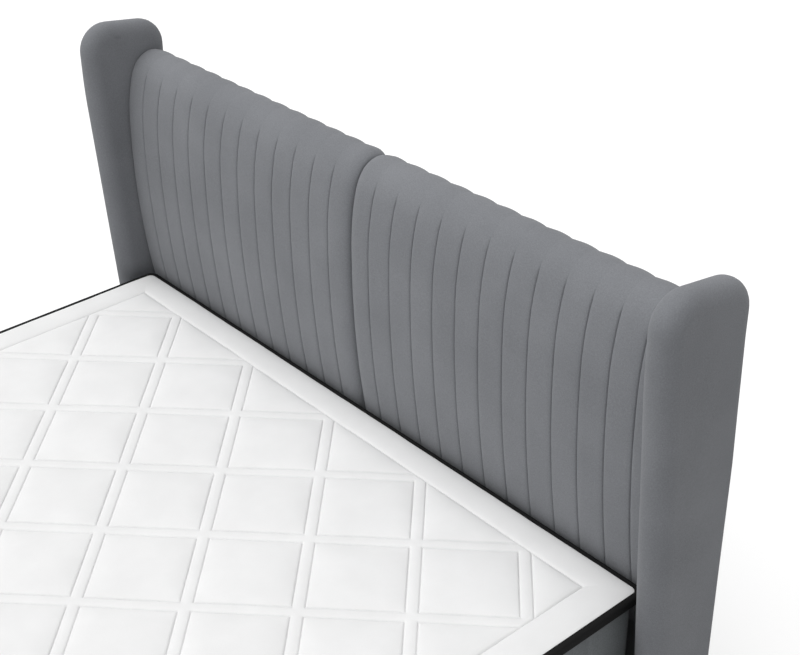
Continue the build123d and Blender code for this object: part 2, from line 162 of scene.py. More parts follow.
def colourAndBump(tree, shader, shade, stops, height, depth, strength=0.5, invert=False):
    # the shade picks a colour between the stops, and the height makes a bump, its depth in mm
    colour = addNode(tree, "ShaderNodeValToRGB", {"Fac": shade}, stops).outputs["Color"]
    tree.links.new(colour, shader.inputs["Base Color"])
    bump = addNode(tree, "ShaderNodeBump", {
        "Height": height, "Distance": depth * mm, "Strength": strength}, invert=invert)
    tree.links.new(bump.outputs["Normal"], shader.inputs["Normal"])
    return colour


upholsteryLook = {
    "dark": "#6d6f73", "middle": "#787a7e", "light": "#838589",
    "threadSpacing": 1.1,   # mm; the real yarns lie 0.5 mm apart, drawn coarser so that they show
    "threadShade": 0.07,    # how far single threads change the shade
    "heather": 2.4,         # mm, width of the lighter and darker yarn stretches
    "patch": 160.0,         # mm, width of the slow changes of shade
    "patchShare": 0.35,
    "weaveDepth": 0.10,     # mm
}


def wovenPolyester(name, look):
    # woven polyester linen-look cloth: dull, slightly heathered, with a soft sheen at grazing angles
    material, tree, shader = newMaterial(
        name, Roughness=0.92, Specular_IOR_Level=0.22, Sheen_Weight=0.12, Sheen_Roughness=0.5)
    cloth = addNode(tree, "ShaderNodeUVMap", uv_map="cloth").outputs["UV"]
    place = addNode(tree, "ShaderNodeTexCoord").outputs["Object"]
    turns = 2 * math.pi / (look["threadSpacing"] * mm)
    apart = addNode(tree, "ShaderNodeSeparateXYZ", {"Vector": cloth})
    waves = []
    for axis in ("X", "Y"):
        scaled = addNode(tree, "ShaderNodeMath", {0: apart.outputs[axis], 1: turns}, operation="MULTIPLY")
        waves.append(addNode(tree, "ShaderNodeMath", {0: scaled.outputs[0]}, operation="SINE").outputs[0])
    weave = addNode(tree, "ShaderNodeMath", {0: waves[0], 1: waves[1]}, operation="MULTIPLY").outputs[0]
    heather = addNode(tree, "ShaderNodeTexNoise", {
        "Vector": place, "Scale": 1 / (look["heather"] * mm), "Detail": 3.0, "Roughness": 0.7,
    }).outputs["Fac"]
    patch = addNode(tree, "ShaderNodeTexNoise", {
        "Vector": place, "Scale": 1 / (look["patch"] * mm), "Detail": 2.0}).outputs["Fac"]
    both = addNode(tree, "ShaderNodeMix", {"Factor": look["patchShare"], "A": heather, "B": patch})
    shade = addNode(tree, "ShaderNodeMath", {
        0: weave, 1: look["threadShade"], 2: both.outputs["Result"]}, operation="MULTIPLY_ADD")
    height = addNode(tree, "ShaderNodeMath", {0: heather, 1: 0.8, 2: weave}, operation="MULTIPLY_ADD")
    stops = [(0.30, look["dark"]), (0.5, look["middle"]), (0.70, look["light"])]
    colourAndBump(tree, shader, shade.outputs[0], stops, height.outputs[0], look["weaveDepth"], 0.6)
    rough = addNode(tree, "ShaderNodeMapRange", {"Value": heather, "To Min": 0.86, "To Max": 0.98})
    tree.links.new(rough.outputs["Result"], shader.inputs["Roughness"])
    return material


knitLook = {
    "dark": "#e0e0e0", "middle": "#e4e4e4", "light": "#e8e8e8",
    "paintedSeamShade": "#8f8f90",    # painted shade: the grey the cloth takes down in a quilting seam
    "loop": 2.4,            # mm; the real knit has 0.9 mm loops, drawn coarser so that they show
    "depth": 0.12,          # mm
}


def knittedTicking(name, look):
    # white jacquard-knit ticking: soft, dull, with fine rows of loops and slow changes of shade, and
    # painted shade greying it along the quilting seams
    material, tree, shader = newMaterial(
        name, Roughness=0.9, Specular_IOR_Level=0.2, Sheen_Weight=0.08, Sheen_Roughness=0.6)
    cloth = addNode(tree, "ShaderNodeUVMap", uv_map="cloth").outputs["UV"]
    place = addNode(tree, "ShaderNodeTexCoord").outputs["Object"]
    loops = addNode(tree, "ShaderNodeTexVoronoi", {
        "Vector": cloth, "Scale": 1 / (look["loop"] * mm), "Randomness": 0.35}).outputs["Distance"]
    soft = addNode(tree, "ShaderNodeTexNoise", {"Vector": place, "Scale": 14.0, "Detail": 3.0})
    shade = addNode(tree, "ShaderNodeMix", {"Factor": 0.3, "A": soft.outputs["Fac"], "B": loops})
    stops = [(0.25, look["light"]), (0.5, look["middle"]), (0.8, look["dark"])]
    colour = colourAndBump(
        tree, shader, shade.outputs["Result"], stops, loops, look["depth"], invert=True)
    # painted shade: the cloth greys along the quilting seams, as far as the mesh's attribute says
    seamGrooveAndShade = addNode(tree, "ShaderNodeAttribute", attribute_name="seamGrooveAndShade")
    seamShaded = addNode(tree, "ShaderNodeMix", {
        "Factor": seamGrooveAndShade.outputs["Fac"], "A": colour, "B": hexColour(look["paintedSeamShade"])}, data_type="RGBA")
    tree.links.new(seamShaded.outputs["Result"], shader.inputs["Base Color"])
    return material


def ribbedCloth(name, dark, light, ribSpacing, ribDepth):
    # woven tape and border cloth: dull, with fine ribs across (mm) and specks about 2.4 mm wide
    material, tree, shader = newMaterial(name, Roughness=0.85, Specular_IOR_Level=0.25)
    cloth = addNode(tree, "ShaderNodeUVMap", uv_map="cloth").outputs["UV"]
    place = addNode(tree, "ShaderNodeTexCoord").outputs["Object"]
    apart = addNode(tree, "ShaderNodeSeparateXYZ", {"Vector": cloth})
    scaled = addNode(tree, "ShaderNodeMath", {
        0: apart.outputs["X"], 1: 2 * math.pi / (ribSpacing * mm)}, operation="MULTIPLY")
    ribs = addNode(tree, "ShaderNodeMath", {0: scaled.outputs[0]}, operation="SINE").outputs[0]
    speckle = addNode(tree, "ShaderNodeTexNoise", {"Vector": place, "Scale": 420.0, "Detail": 2.0})
    shade = addNode(tree, "ShaderNodeMath", {
        0: ribs, 1: 0.12, 2: speckle.outputs["Fac"]}, operation="MULTIPLY_ADD")
    colourAndBump(tree, shader, shade.outputs[0], [(0.3, dark), (0.7, light)], ribs, ribDepth)
    return material


def sawnPine(name, grainAxis, dark, light, gloss=0.62):
    # planed softwood: straight grain along one axis, growth rings and finer, darker pores
    material, tree, shader = newMaterial(name, Roughness=gloss, Specular_IOR_Level=0.35)
    place = addNode(tree, "ShaderNodeTexCoord").outputs["Object"]
    stretch = [28.0, 28.0, 28.0]        # makes rings 12 mm and pores 1.4 mm wide
    stretch["XYZ".index(grainAxis)] = 1.1
    grain = addNode(tree, "ShaderNodeMapping", {"Vector": place, "Scale": stretch}).outputs["Vector"]
    rings = addNode(tree, "ShaderNodeTexNoise", {
        "Vector": grain, "Scale": 3.0, "Detail": 5.0, "Distortion": 0.6})
    pores = addNode(tree, "ShaderNodeTexNoise", {
        "Vector": grain, "Scale": 26.0, "Detail": 2.0}).outputs["Fac"]
    shade = addNode(tree, "ShaderNodeMix", {"Factor": 0.3, "A": rings.outputs["Fac"], "B": pores})
    colourAndBump(tree, shader, shade.outputs["Result"], [(0.35, dark), (0.6, light)], pores, 0.15)
    return material


def layeredPly(name, dark, light):
    # rotary-cut plywood: broad cathedral figure, 170 mm long and 28 mm wide, under slow bands
    material, tree, shader = newMaterial(name, Roughness=0.7, Specular_IOR_Level=0.3)
    place = addNode(tree, "ShaderNodeTexCoord").outputs["Object"]
    stretched = addNode(tree, "ShaderNodeMapping", {"Vector": place, "Scale": (1.5, 9.0, 9.0)})
    figure = addNode(tree, "ShaderNodeTexNoise", {
        "Vector": stretched.outputs["Vector"], "Scale": 4.0, "Detail": 5.0, "Distortion": 1.4,
    }).outputs["Fac"]
    bands = addNode(tree, "ShaderNodeTexWave", {
        "Vector": place, "Scale": 1 / (9.4 * mm) / (2 * math.pi), "Distortion": 0.2}, bands_direction="Y")
    shade = addNode(tree, "ShaderNodeMix", {"Factor": 0.25, "A": figure, "B": bands.outputs["Fac"]})
    colourAndBump(tree, shader, shade.outputs["Result"], [(0.3, dark), (0.65, light)], figure, 0.2, 0.4)
    return material


def coatedSteel(name, dark, light, metallic, gloss, grit):
    # powder-coated or zinc-plated steel: fine orange peel (grit in mm), duller patches 22 mm wide
    material, tree, shader = newMaterial(name, Metallic=metallic, Roughness=gloss)
    place = addNode(tree, "ShaderNodeTexCoord").outputs["Object"]
    peel = addNode(tree, "ShaderNodeTexNoise", {
        "Vector": place, "Scale": 1 / (grit * mm), "Detail": 2.0}).outputs["Fac"]
    patch = addNode(tree, "ShaderNodeTexNoise", {
        "Vector": place, "Scale": 45.0, "Detail": 3.0}).outputs["Fac"]
    colourAndBump(tree, shader, patch, [(0.3, dark), (0.7, light)], peel, 0.05, 0.4)
    rough = addNode(tree, "ShaderNodeMapRange", {
        "Value": patch, "To Min": gloss - 0.08, "To Max": gloss + 0.1})
    tree.links.new(rough.outputs["Result"], shader.inputs["Roughness"])
    return material


def mouldedPolypropylene(name, dark, light):
    # injection-moulded glides: black, with a faint grain 1.1 mm wide
    material, tree, shader = newMaterial(name, Roughness=0.5, Specular_IOR_Level=0.4)
    place = addNode(tree, "ShaderNodeTexCoord").outputs["Object"]
    grain = addNode(tree, "ShaderNodeTexNoise", {
        "Vector": place, "Scale": 900.0, "Detail": 2.0}).outputs["Fac"]
    colourAndBump(tree, shader, grain, [(0.3, dark), (0.7, light)], grain, 0.05)
    return material


greyCloth = wovenPolyester("woven polyester upholstery cloth", upholsteryLook)
whiteKnit = knittedTicking("white knitted ticking", knitLook)
blackBorder = ribbedCloth("black woven border tape", "#040404", "#0b0b0c", 1.6, 0.25)
greyKnit = ribbedCloth("dark grey knitted side cloth", "#6e7274", "#808486", 2.2, 0.2)
dustCloth = ribbedCloth("black spunbonded dust cloth", "#101011", "#1d1d1f", 0.9, 0.08)
tapeCloth = ribbedCloth("woven cotton slat tape", "#b9b4a6", "#d6d2c6", 1.4, 0.3)
pineAlongX = sawnPine("planed pine, grain across the bed", "X", "#b98a57", "#e0bd8a")
pineAlongY = sawnPine("planed pine, grain along the bed", "Y", "#b08350", "#d8b380")
pineAlongZ = sawnPine("planed pine, upright grain", "Z", "#b08350", "#d8b380")
stainedBeech = sawnPine("beech stained dark brown and lacquered", "Z", "#1d120c", "#3a2618", 0.38)
birchPly = layeredPly("birch plywood", "#b48b5c", "#dcb98a")
blackCoat = coatedSteel("steel powder-coated black", "#101112", "#1b1c1d", 0.0, 0.42, 0.9)
zincPlate = coatedSteel("zinc-plated steel", "#9c9fa1", "#c3c5c4", 1.0, 0.34, 1.6)
blackPlastic = mouldedPolypropylene("moulded black polypropylene", "#0d0d0e", "#18181a")

slotMaterials = {
    "upholstery": greyCloth, "back_cloth": dustCloth, "webbing": tapeCloth,
    "slat_pine": pineAlongX, "frame_timber": pineAlongX, "plywood": birchPly,
    "leg_wood": stainedBeech, "black_plastic": blackPlastic,
    "bracket_steel": blackCoat, "zinc_steel": zincPlate,
    "mattress_side": greyKnit, "mattress_band": blackBorder, "mattress_top": whiteKnit,
}
grainByNode = {"centre_beam": pineAlongY, "slat_ledges": pineAlongY}
for upright in ("headboard_post_left", "headboard_post_right", "headboard_post_centre",
                "wing_battens_left", "wing_battens_right",
                "support_leg_1", "support_leg_2", "support_leg_3"):
    grainByNode[upright] = pineAlongZ
for part in frame["record"]["subparts"]:
    node = frame["nodes"][part["node"]]
    node.data.materials.clear()
    node.data.materials.append(grainByNode.get(part["node"], slotMaterials[part["material_slot"]]))
print("materials made")


# Tufted pads

padLook = {
    "channels": 13,
    "solidCrown": 5.0 * mm,     # middle of a channel above its seams in the CAD
    "crown": 2.6 * mm,          # the same here
    "crownPower": 8.0,          # higher is flatter between the seams
    "topCrown": 0.9 * mm,       # over the top the cloth is nearly smooth
    "rearCrown": 4.6 * mm,      # along the rear edge each channel stands out between its notches
    "notch": 2.0 * mm,
    "notchWidth": 3.0 * mm,
    "seamDepth": 2.0 * mm,
    "seamWidth": 0.8 * mm,
    "fadeFrom": 62.0 * mm, "fadeTo": 24.0 * mm,     # below the top: where the seams run out
    "rearFrom": 50.0 * mm, "rearTo": 26.0 * mm,     # from the rear edge: where the notches grow
    "rearTuck": 5.0 * mm,       # over these the padding rises from the two edges
    "lowerTuck": 0.05,          # the same at the bottom, as a share of the outline
    "wander": 0.5 * mm, "wanderScale": (9, 5, 7),       # slow unevenness of the padding
    "pucker": 0.7 * mm, "puckerScale": (60, 95), "puckerReach": 9.0 * mm,   # small tucks at a seam
    "centreDraw": 15.0 * mm,    # the end at the middle of the bed is rounded off by this
    "centreRound": 30.0 * mm,
    "wingDraw": 4.0 * mm,
    "wingRound": 12.0 * mm,
    "channelShares": [0, 0.012, 0.026, 0.045, 0.075, 0.12, 0.19, 0.29, 0.4, 0.5,
                      0.6, 0.71, 0.81, 0.88, 0.925, 0.955, 0.974, 0.988],
    "profileStep": 6.0 * mm,
    "softenings": 12,           # how often the joins of the outline's arcs are evened out
}
# Side outline at a seam: how far in front of the board, as a share of the bulge, and how high,
# as a share of the height. Each pair after the second is the middle and the end of an arc.
padFrontShares = [
    (0.28, 0.0), (0.36, 0.03), (0.87, 0.385), (1.0, 0.74), (0.94, 0.838),
    (0.76, 0.935), (0.503, 0.9795), (0.065, 1.0), (-0.396, 0.979),
]
padBackShare = 0.935


def arcThrough(start, middle, end, step):  # points of the arc from start to end, without start
    ax, ay = start
    bx, by = middle
    cx, cy = end
    d = 2 * (ax * (by - cy) + bx * (cy - ay) + cx * (ay - by))
    squares = [ax * ax + ay * ay, bx * bx + by * by, cx * cx + cy * cy]
    ux = (squares[0] * (by - cy) + squares[1] * (cy - ay) + squares[2] * (ay - by)) / d
    uy = (squares[0] * (cx - bx) + squares[1] * (ax - cx) + squares[2] * (bx - ax)) / d
    radius = math.hypot(ax - ux, ay - uy)
    angles = [math.atan2(y - uy, x - ux) for x, y in (start, middle, end)]
    turn = (angles[2] - angles[0] + math.pi) % (2 * math.pi) - math.pi
    count = max(2, int(abs(turn) * radius / step))
    return [
        (ux + radius * math.cos(angles[0] + turn * i / count),
         uy + radius * math.sin(angles[0] + turn * i / count))
        for i in range(1, count + 1)
    ]


def padProfile(bulge, height, hook, frameTop):
    # the padded outline from under the front up and over the roll, then the flat back
    look = padLook
    places = [(forward * bulge, up * height) for forward, up in padFrontShares]
    padded = places[:2]
    ends = places[2:] + [(hook, padBackShare * height)]
    for middle, end in zip(ends[0::2], ends[1::2]):
        padded += arcThrough(padded[-1], middle, end, look["profileStep"])
    padded = np.array(padded)
    for _ in range(look["softenings"]):
        padded[2:-1] = padded[2:-1] * 0.5 + (padded[1:-2] + padded[3:]) * 0.25
    flat = np.array([(hook, frameTop), (0.0, frameTop), (0.0, 0.0)])
    return padded, flat


def smoothStep(share):
    share = np.clip(share, 0, 1)
    return share * share * (3 - 2 * share)


def outwardNormals(line):  # of a line in a plane, on the right of its run
    slope = np.gradient(line, axis=0)
    slope /= np.linalg.norm(slope, axis=1)[:, None]
    return np.stack([slope[:, 1], -slope[:, 0]], 1)


def tuftedPad(side):
    look = padLook
    low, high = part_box("tufted_pad_right")
    boardLow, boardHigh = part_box("headboard_board_right")
    boardFront = boardLow.y
    height = high.z - low.z - look["solidCrown"]
    bulge = boardFront - low.y - look["solidCrown"]
    padded, flat = padProfile(bulge, height, boardFront - high.y, boardHigh.z - low.z)
    normals = outwardNormals(padded)
    travelled = travelledAlong(padded)
    fromRear = travelled[-1] - travelled
    swells = np.clip(travelled / travelled[-1] / look["lowerTuck"], 0, 1)
    swells *= np.clip(fromRear / look["rearTuck"], 0, 1)
    fades = smoothStep((look["fadeFrom"] - (height - padded[:, 1])) / (look["fadeFrom"] - look["fadeTo"]))
    fades = np.where(fromRear < look["rearFrom"], 1, fades)
    rears = smoothStep((look["rearFrom"] - fromRear) / (look["rearFrom"] - look["rearTo"]))
    channels = look["channels"]
    pitch = (high.x - low.x) / channels
    across = [k + share for k in range(channels) for share in look["channelShares"]] + [channels]
    wx, wy, wz = look["wanderScale"]
    px, pz = look["puckerScale"]
    places = []
    for place in across:
        x = low.x + place * pitch
        fromSeam = abs(place - round(place)) * pitch
        offMiddle = abs(2 * (place - min(int(place), channels - 1)) - 1)
        crown = look["crown"] * (1 - offMiddle ** look["crownPower"])
        topCrown = look["topCrown"] * (1 - offMiddle ** 2)
        rearCrown = look["rearCrown"] * (1 - offMiddle ** 2)
        atSeam = min(x - low.x, high.x - x) > pitch / 2     # the pad's two ends have none
        seam = look["seamDepth"] * seamShare(fromSeam, look["seamWidth"]) if atSeam else 0
        notch = look["notch"] * seamShare(fromSeam, look["notchWidth"]) if atSeam else 0
        draw = 0
        for gap, drawn, rounded in ((x - low.x, look["centreDraw"], look["centreRound"]),
                                    (high.x - x, look["wingDraw"], look["wingRound"])):
            if gap < rounded:
                draw += drawn * (1 - math.sqrt(1 - (1 - gap / rounded) ** 2))
        for (forward, up), (outForward, outUp), swell, fade, rear in zip(
                padded, normals, swells, fades, rears):
            z = low.z + up
            smooth = topCrown * (1 - rear) + (rearCrown - notch) * rear
            quilted = (crown - seam) * (1 - fade) + smooth * fade
            wander = noise.noise((x * wx * side, forward * wy, z * wz)) * look["wander"]
            pucker = noise.noise((x * px, z * pz, side)) * look["pucker"]
            pucker *= math.exp(-fromSeam / look["puckerReach"]) * (1 - fade)
            lift = (quilted - draw + wander + pucker) * swell
            places.append((side * x, boardFront - forward - outForward * lift, z + outUp * lift))
        places += [(side * x, boardFront - forward, low.z + up) for forward, up in flat]
    faces = tubeFaces(len(across), len(padded) + len(flat))
    if side > 0:
        faces = [face[::-1] for face in faces]
    piece = newPiece("tufted_pad_cover_" + sideNames[side], places, faces, 60)
    return finishPiece(
        piece, greyCloth, "bed_frame", ["tufted_pad_" + sideNames[side]])


for side in sideNames:
    tuftedPad(side)
print("tufted pads made")


# Wings

wingLook = {
    "round": 33.0 * mm,        # depth over which the nose rolls from face to face
    "rearRound": 16.0 * mm,
    "power": 2.1,              # 2 is a round roll
    "swell": 2.0 * mm,         # the faces stand proud in their middle
    "step": 9.0 * mm,
    "spans": 14,               # quads across the flat middle of a face
    "ringShares": [0, 0.03, 0.09, 0.18, 0.3, 0.45, 0.62, 0.8, 1.0],     # of the roll's depth
    # share of the outline where the roll gets tighter, down the rear edge, and over how much
    "rearFrom": 0.58, "rearOver": 0.1,
    "wander": 0.8 * mm, "wanderScale": (6, 5),      # slow unevenness of the faces
    "frontRadius": 64.0 * mm, "backRadius": 66.0 * mm, "kneeRadius": 1400.0 * mm,
    "depth": 214.0 * mm, "footDepth": 136.0 * mm, "kneeSetback": 2.0 * mm,
    # heights above the glides, the top ones at the corners that the radii round off
    "kneeHeight": 1028.0 * mm, "noseHeight": 1193.0 * mm, "rearHeight": 1160.0 * mm,
}


def roundedLine(corners, radii, step):  # a run of straight lines with an arc at each inner corner
    points = [Vector(corners[0])]
    for before, corner, after, radius in zip(corners, corners[1:], corners[2:], radii):
        corner = Vector(corner)
        toBefore = (Vector(before) - corner).normalized()
        toAfter = (Vector(after) - corner).normalized()
        half = toBefore.angle(toAfter) / 2
        reach = radius / math.tan(half)
        centre = corner + (toBefore + toAfter).normalized() * (radius / math.sin(half))
        start, end = corner + toBefore * reach, corner + toAfter * reach
        middle = centre + (corner - centre).normalized() * radius
        run = (start - points[-1]).length
        count = max(1, int(run / step))
        points += [points[-1].lerp(start, i / count) for i in range(1, count + 1)]
        points += [Vector(p) for p in arcThrough(tuple(start), tuple(middle), tuple(end), step)]
    last = Vector(corners[-1])
    count = max(1, int((last - points[-1]).length / step))
    points += [points[-1].lerp(last, i / count) for i in range(1, count + 1)]
    return np.array([tuple(p) for p in points])


def evenly(line, count):  # the same line with evenly spaced points
    lengths = travelledAlong(line)
    wanted = np.linspace(0, lengths[-1], count)
    return np.stack([np.interp(wanted, lengths, line[:, i]) for i in range(2)], 1)


def wingCover(side):
    look = wingLook
    low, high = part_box("wing_padding_right")
    front, rear, top = low.y, high.y, high.z
    nose = rear - look["depth"]
    corners = [
        (rear - look["footDepth"], low.z),
        (nose + look["kneeSetback"], low.z + look["kneeHeight"]),
        (nose, low.z + look["noseHeight"]), (rear, low.z + look["rearHeight"]), (rear, low.z),
    ]
    radii = [look["kneeRadius"], look["frontRadius"], look["backRadius"]]
    line = roundedLine(corners, radii, look["step"] / 2)
    rows = int(travelledAlong(line)[-1] / look["step"] / 2)
    count = 2 * rows + 1
    line = evenly(line, count)
    inward = -outwardNormals(line)
    inward = inward if inward[0][0] > 0 else -inward
    rearShare = np.clip((np.linspace(0, 1, count) - look["rearFrom"]) / look["rearOver"], 0, 1)
    depths = look["round"] + (look["rearRound"] - look["round"]) * rearShare
    half = (high.x - low.x) / 2
    middleX = (high.x + low.x) / 2
    face = []       # one face of the wing: (y, z, half thickness)
    for share in look["ringShares"]:
        thickness = half * (1 - (1 - share) ** look["power"]) ** (1 / look["power"])
        for point, way, depth in zip(line, inward, depths):
            y, z = point + way * depth * share
            face.append((y, max(z, low.z), thickness))
    inner = [point + way * depth for point, way, depth in zip(line, inward, depths)]
    rings, spans = len(look["ringShares"]), look["spans"]
    for i in range(rows):       # rows across the flat middle, from the floor up to the top
        start, end = inner[i], inner[count - 1 - i]
        for j in range(1, spans):
            y, z = start * (1 - j / spans) + end * (j / spans)
            face.append((y, max(z, low.z), half))

    def inRow(i, j):
        if j == 0:
            return (rings - 1) * count + i
        if j == spans:
            return rings * count - 1 - i
        return rings * count + i * (spans - 1) + j - 1

    quads = gridFaces(rings, count)
    for i in range(rows - 1):
        for j in range(spans):
            quads.append((inRow(i, j), inRow(i, j + 1), inRow(i + 1, j + 1), inRow(i + 1, j)))
    apex = (rings - 1) * count + rows
    quads += [(inRow(rows - 1, j), inRow(rows - 1, j + 1), apex) for j in range(spans)]
    wy, wz = look["wanderScale"]
    places, index, faces = [], {}, []
    for way in (1, -1):
        for i, (y, z, thickness) in enumerate(face):
            if way < 0 and i < count:
                index[(way, i)] = index[(1, i)]     # both faces share the outline
                continue
            u = (y - (front + rear) / 2) / (rear - front) * 2
            v = (z - (top + low.z) / 2) / (top - low.z) * 2
            swell = look["swell"] * max(0, 1 - u * u) * max(0, 1 - v ** 4) if way > 0 else 0
            wander = noise.noise((y * wy, z * wz, way * side * 3.0)) * look["wander"] * thickness / half
            index[(way, i)] = len(places)
            places.append((side * (middleX + way * (thickness + swell + wander)), y, z))
        for quad in quads:
            spots = tuple(index[(way, i)] for i in quad)
            faces.append(spots if way * side > 0 else spots[::-1])
    # the underside, once round its edge
    foot = [ring * count for ring in range(rings)] + [inRow(0, j) for j in range(1, spans)]
    foot += [ring * count + count - 1 for ring in reversed(range(rings))]
    bottom = tuple([index[(1, i)] for i in foot] + [index[(-1, i)] for i in foot[-2:0:-1]])
    faces.append(bottom if side > 0 else bottom[::-1])
    piece = newPiece("wing_cover_" + sideNames[side], places, faces)
    return finishPiece(
        piece, greyCloth, "bed_frame", ["wing_padding_" + sideNames[side]])


for side in sideNames:
    wingCover(side)
print("wings made")


# Covers of the base

coverLook = {
    "round": 9.0 * mm,
    "lowRound": 0.4, "apronRound": 0.5,         # of the round: at the lower edges and on the apron
    "swell": 2.5 * mm,
    "railSwell": 0.6, "apronSwell": 0.4,        # of the swell
    "edgeShares": [0, 0.15, 0.35, 0.6, 0.8, 1.0],       # of the round, where it has rows of points
    "wander": 0.7 * mm, "wanderScale": 7.0,
    "step": 16.0 * mm,
    "under": 1.0 * mm,          # the cloth turns under the board
    "seamInset": 26.0 * mm,     # an upright seam near each end of the footboard
    "seamDepth": 1.6 * mm, "seamWidth": 1.5 * mm,
    "seamRows": [-5.0, -3.0, -1.6, -0.8, 0, 0.8, 1.6, 3.0, 5.0],     # mm from the seam
    "seamClear": 8.0 * mm,      # no other rows this near to a seam
}


def slabLines(low, high, rounds, seams):  # where the rows of points lie along X, Y and Z
    look = coverLook
    shares = look["edgeShares"]
    lines = []
    for i, (lowRound, highRound) in enumerate(rounds):
        lowSide = [low[i] + lowRound * share for share in shares] if lowRound else [low[i]]
        highSide = [high[i] - highRound * share for share in shares[::-1]] if highRound else [high[i]]
        count = max(2, int((high[i] - low[i]) / look["step"]))
        inner = list(np.linspace(lowSide[-1], highSide[0], count + 1)[1:-1])
        if i == 0:
            inner = [x for x in inner if all(abs(x - seam) > look["seamClear"] for seam in seams)]
            inner += [seam + row * mm for seam in seams for row in look["seamRows"]]
        lines.append(lowSide + sorted(inner) + highSide)
    return lines


def slabPlace(place, low, high, rounds, swell, seams):  # rolls the edges and swells the faces
    look = coverLook
    core = np.clip(place, [low[i] + rounds[i][0] for i in range(3)],
                   [high[i] - rounds[i][1] for i in range(3)])
    out = place - core
    length = np.linalg.norm(out)
    if length > 0:
        place = core + out * np.abs(out).max() / length
    middle = (low + high) / 2
    shares = np.clip(np.abs((core - middle) / ((high - low) / 2)), 0, 1)
    for i in range(3):
        lowSide = place[i] < middle[i]
        atSide = min(abs(place[i] - low[i]), abs(place[i] - high[i])) < 1e-6
        if atSide and rounds[i][0 if lowSide else 1]:
            lift = swell * math.prod(1 - shares[j] ** 6 for j in range(3) if j != i)
            lift += noise.noise(tuple(place * look["wanderScale"])) * look["wander"]
            for seam in seams if i > 0 else ():
                lift -= look["seamDepth"] * seamShare(place[0] - seam, look["seamWidth"])
            place[i] += -lift if lowSide else lift
    return tuple(place)


def paddedSlab(name, low, high, rounds, swell, seams=()):
    # a block with rolled edges; rounds are the radii at its low and high X, Y and Z sides,
    # seams are places in X where a seam runs up the front and over the top
    low, high = np.array(low), np.array(high)
    lines = slabLines(low, high, rounds, seams)
    places, index, faces = [], {}, []

    def indexOf(spot):
        if spot not in index:
            index[spot] = len(places)
            place = np.array([lines[i][spot[i]] for i in range(3)])
            places.append(slabPlace(place, low, high, rounds, swell, seams))
        return index[spot]

    for axis in range(3):
        a, b = [i for i in range(3) if i != axis]
        for end in (0, len(lines[axis]) - 1):
            outward = (end > 0) != (axis == 1)
            for i in range(len(lines[a]) - 1):
                for j in range(len(lines[b]) - 1):
                    quad = []
                    for di, dj in ((0, 0), (1, 0), (1, 1), (0, 1)):
                        spot = [0, 0, 0]
                        spot[axis], spot[a], spot[b] = end, i + di, j + dj
                        quad.append(indexOf(tuple(spot)))
                    faces.append(tuple(quad) if outward else tuple(quad[::-1]))
    return newPiece(name, places, faces)


def baseCovers():
    look = coverLook
    r = look["round"]
    rolled, square, footed = (r, r), (0, 0), (look["lowRound"] * r, r)
    slight = look["apronRound"] * r
    rail = ([rolled, square, footed], look["railSwell"], look["under"])
    covers = {      # piece: (node, radii, share of the swell, how far it reaches below the node)
        "side_rail_upholstery_right": ("side_rail_cover_right", *rail),
        "side_rail_upholstery_left": ("side_rail_cover_left", *rail),
        "footboard_upholstery": ("footboard_cover", [rolled, rolled, footed], 1, look["under"]),
        "apron_upholstery": (
            "apron_padding", [square, (slight, 0), (slight, slight)], look["apronSwell"], 0),
    }
    for name, (node, rounds, swellShare, under) in covers.items():
        low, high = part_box(node)
        low = low - Vector((0, 0, under))
        seams = ()
        if node == "footboard_cover":
            seams = (low.x + look["seamInset"], high.x - look["seamInset"])
        piece = paddedSlab(name, low, high, rounds, look["swell"] * swellShare, seams)
        finishPiece(piece, greyCloth, "bed_frame", [node])


baseCovers()
print("base covers made")


# Dust cloth over the back, slat tapes and their staples

backLook = {
    "wrap": 13.0 * mm,          # turned round the outer posts
    "stand": 0.3 * mm,          # of the turned cloth off the posts' sides
    "hem": 14.0 * mm, "hemThickness": 0.35 * mm,    # folded under along all four edges
    "sag": 1.6 * mm,            # the cloth lies slack between the frame's timbers
    "sagEven": 0.7, "sagUneven": 0.5, "sagScale": (3, 4),       # shares of the sag, and its waves
    "heldTo": 70.0 * mm,        # from the edges: the timbers hold the cloth flat up to here
    "slackOver": 90.0 * mm,     # and it is fully slack this much further in
    "pull": 0.7 * mm, "pullReach": 26.0 * mm, "pullFrom": 6.0 * mm,     # small tucks at the staples
    "step": 12.0 * mm,
}
stapleLook = {
    "pitch": 66.0 * mm, "inset": 8.0 * mm,          # along the back's edges
    "sunk": 0.2 * mm,
    "crown": 11.0 * mm, "wire": 0.55 * mm,          # its length and half its thickness
    "sides": 6,
}
tapeLook = {
    "width": 30.0 * mm, "thickness": 1.0 * mm, "sag": 3.0 * mm, "step": 12.0 * mm,
    # section: shares of the width from the middle and of the thickness from below
    "section": [(-0.5, 0.5), (-0.47, 0.05), (0.47, 0.05), (0.5, 0.5), (0.47, 0.95), (-0.47, 0.95)],
    "stapleShift": 8.0 * mm, "stapleSunk": 0.1 * mm,
}


